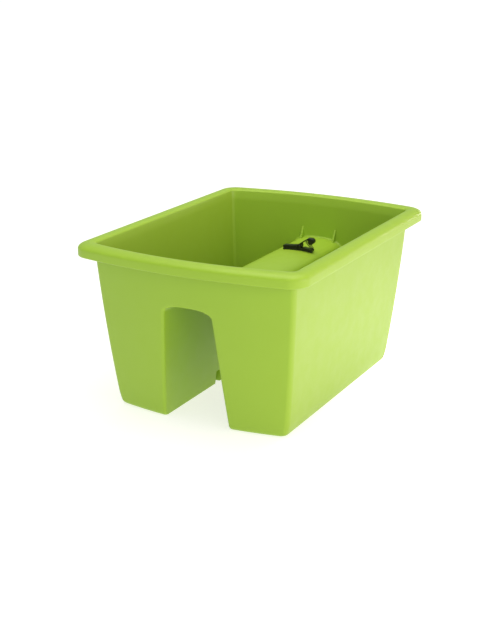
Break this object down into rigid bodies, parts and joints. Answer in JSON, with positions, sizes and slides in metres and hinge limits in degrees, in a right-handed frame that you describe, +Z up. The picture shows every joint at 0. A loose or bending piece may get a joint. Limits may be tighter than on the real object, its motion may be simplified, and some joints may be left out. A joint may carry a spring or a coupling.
{
  "type": "self watering saddle planter",
  "caption": "Rectangular saddle planter that straddles a balcony rail, with a reservoir insert in each leg, filler tubes with float gauges, drain plugs and a loose spring clip.",
  "frame": {"origin": "centre of the footprint on the surface that the two legs stand on", "axes": "+X across the rail channel, +Y along the rail, +Z up"},
  "size_m": [0.2876, 0.3896, 0.2],
  "materials": {
    "pot": "fine matte moulded texture, lime green",
    "insert": "plain matte moulding, dark grey",
    "float": "matte white foam skin",
    "gauge": "gloss red",
    "plug": "matte soft rubber, darker green",
    "clip": "satin black nylon",
    "clip_steel": "blackened spring steel"
  },
  "bodies": {
    "planter": {"planter_pot": "pot"},
    "insert_left": {"reservoir_deck_left": "insert", "wicking_basket_front_left": "insert", "wicking_basket_back_left": "insert", "filler_tube_left": "insert"},
    "insert_right": {"reservoir_deck_right": "insert", "wicking_basket_front_right": "insert", "wicking_basket_back_right": "insert", "filler_tube_right": "insert"},
    "gauge_left": {"gauge_float_left": "float", "gauge_rod_left": "gauge"},
    "gauge_right": {"gauge_float_right": "float", "gauge_rod_right": "gauge"},
    "cap_left": {"filler_cap_left": "insert"},
    "cap_right": {"filler_cap_right": "insert"},
    "plug_left": {"drain_plug_left": "plug"},
    "plug_right": {"drain_plug_right": "plug"},
    "clip": {"clip_lower_lever": "clip", "clip_pivot_pin": "clip_steel", "clip_spring": "clip_steel"},
    "clip_jaw": {"clip_upper_lever": "clip"}
  },
  "joints": [
    {"name": "insert_left_lift", "type": "slide", "parent": "planter", "child": "insert_left", "axis": [0, 0, 1], "range_m": [0, 0.16]},
    {"name": "insert_right_lift", "type": "slide", "parent": "planter", "child": "insert_right", "axis": [0, 0, 1], "range_m": [0, 0.16]},
    {"name": "gauge_left_float", "type": "slide", "parent": "insert_left", "child": "gauge_left", "axis": [0, 0, 1], "range_m": [0, 0.03]},
    {"name": "gauge_right_float", "type": "slide", "parent": "insert_right", "child": "gauge_right", "axis": [0, 0, 1], "range_m": [0, 0.03]},
    {"name": "cap_left_lift", "type": "slide", "parent": "insert_left", "child": "cap_left", "axis": [0, 0, 1], "range_m": [0, 0.04]},
    {"name": "cap_right_lift", "type": "slide", "parent": "insert_right", "child": "cap_right", "axis": [0, 0, 1], "range_m": [0, 0.04]},
    {"name": "plug_left_pull", "type": "slide", "parent": "planter", "child": "plug_left", "axis": [1, 0, 0], "range_m": [0, 0.018]},
    {"name": "plug_right_pull", "type": "slide", "parent": "planter", "child": "plug_right", "axis": [-1, 0, 0], "range_m": [0, 0.018]},
    {"name": "clip_lift", "type": "slide", "parent": "planter", "child": "clip", "axis": [0, 0, 1], "range_m": [0, 0.06]},
    {"name": "clip_pivot", "type": "hinge", "parent": "clip", "child": "clip_jaw", "pos_m": [0.0066, 0.1003, 0.1514], "axis": [-0.0872, 0.9962, 0], "range_deg": [0, 20], "stiffness_Nm_per_rad": 0.02, "springref_deg": -22.92, "deforming": ["clip_spring"]}
  ]
}
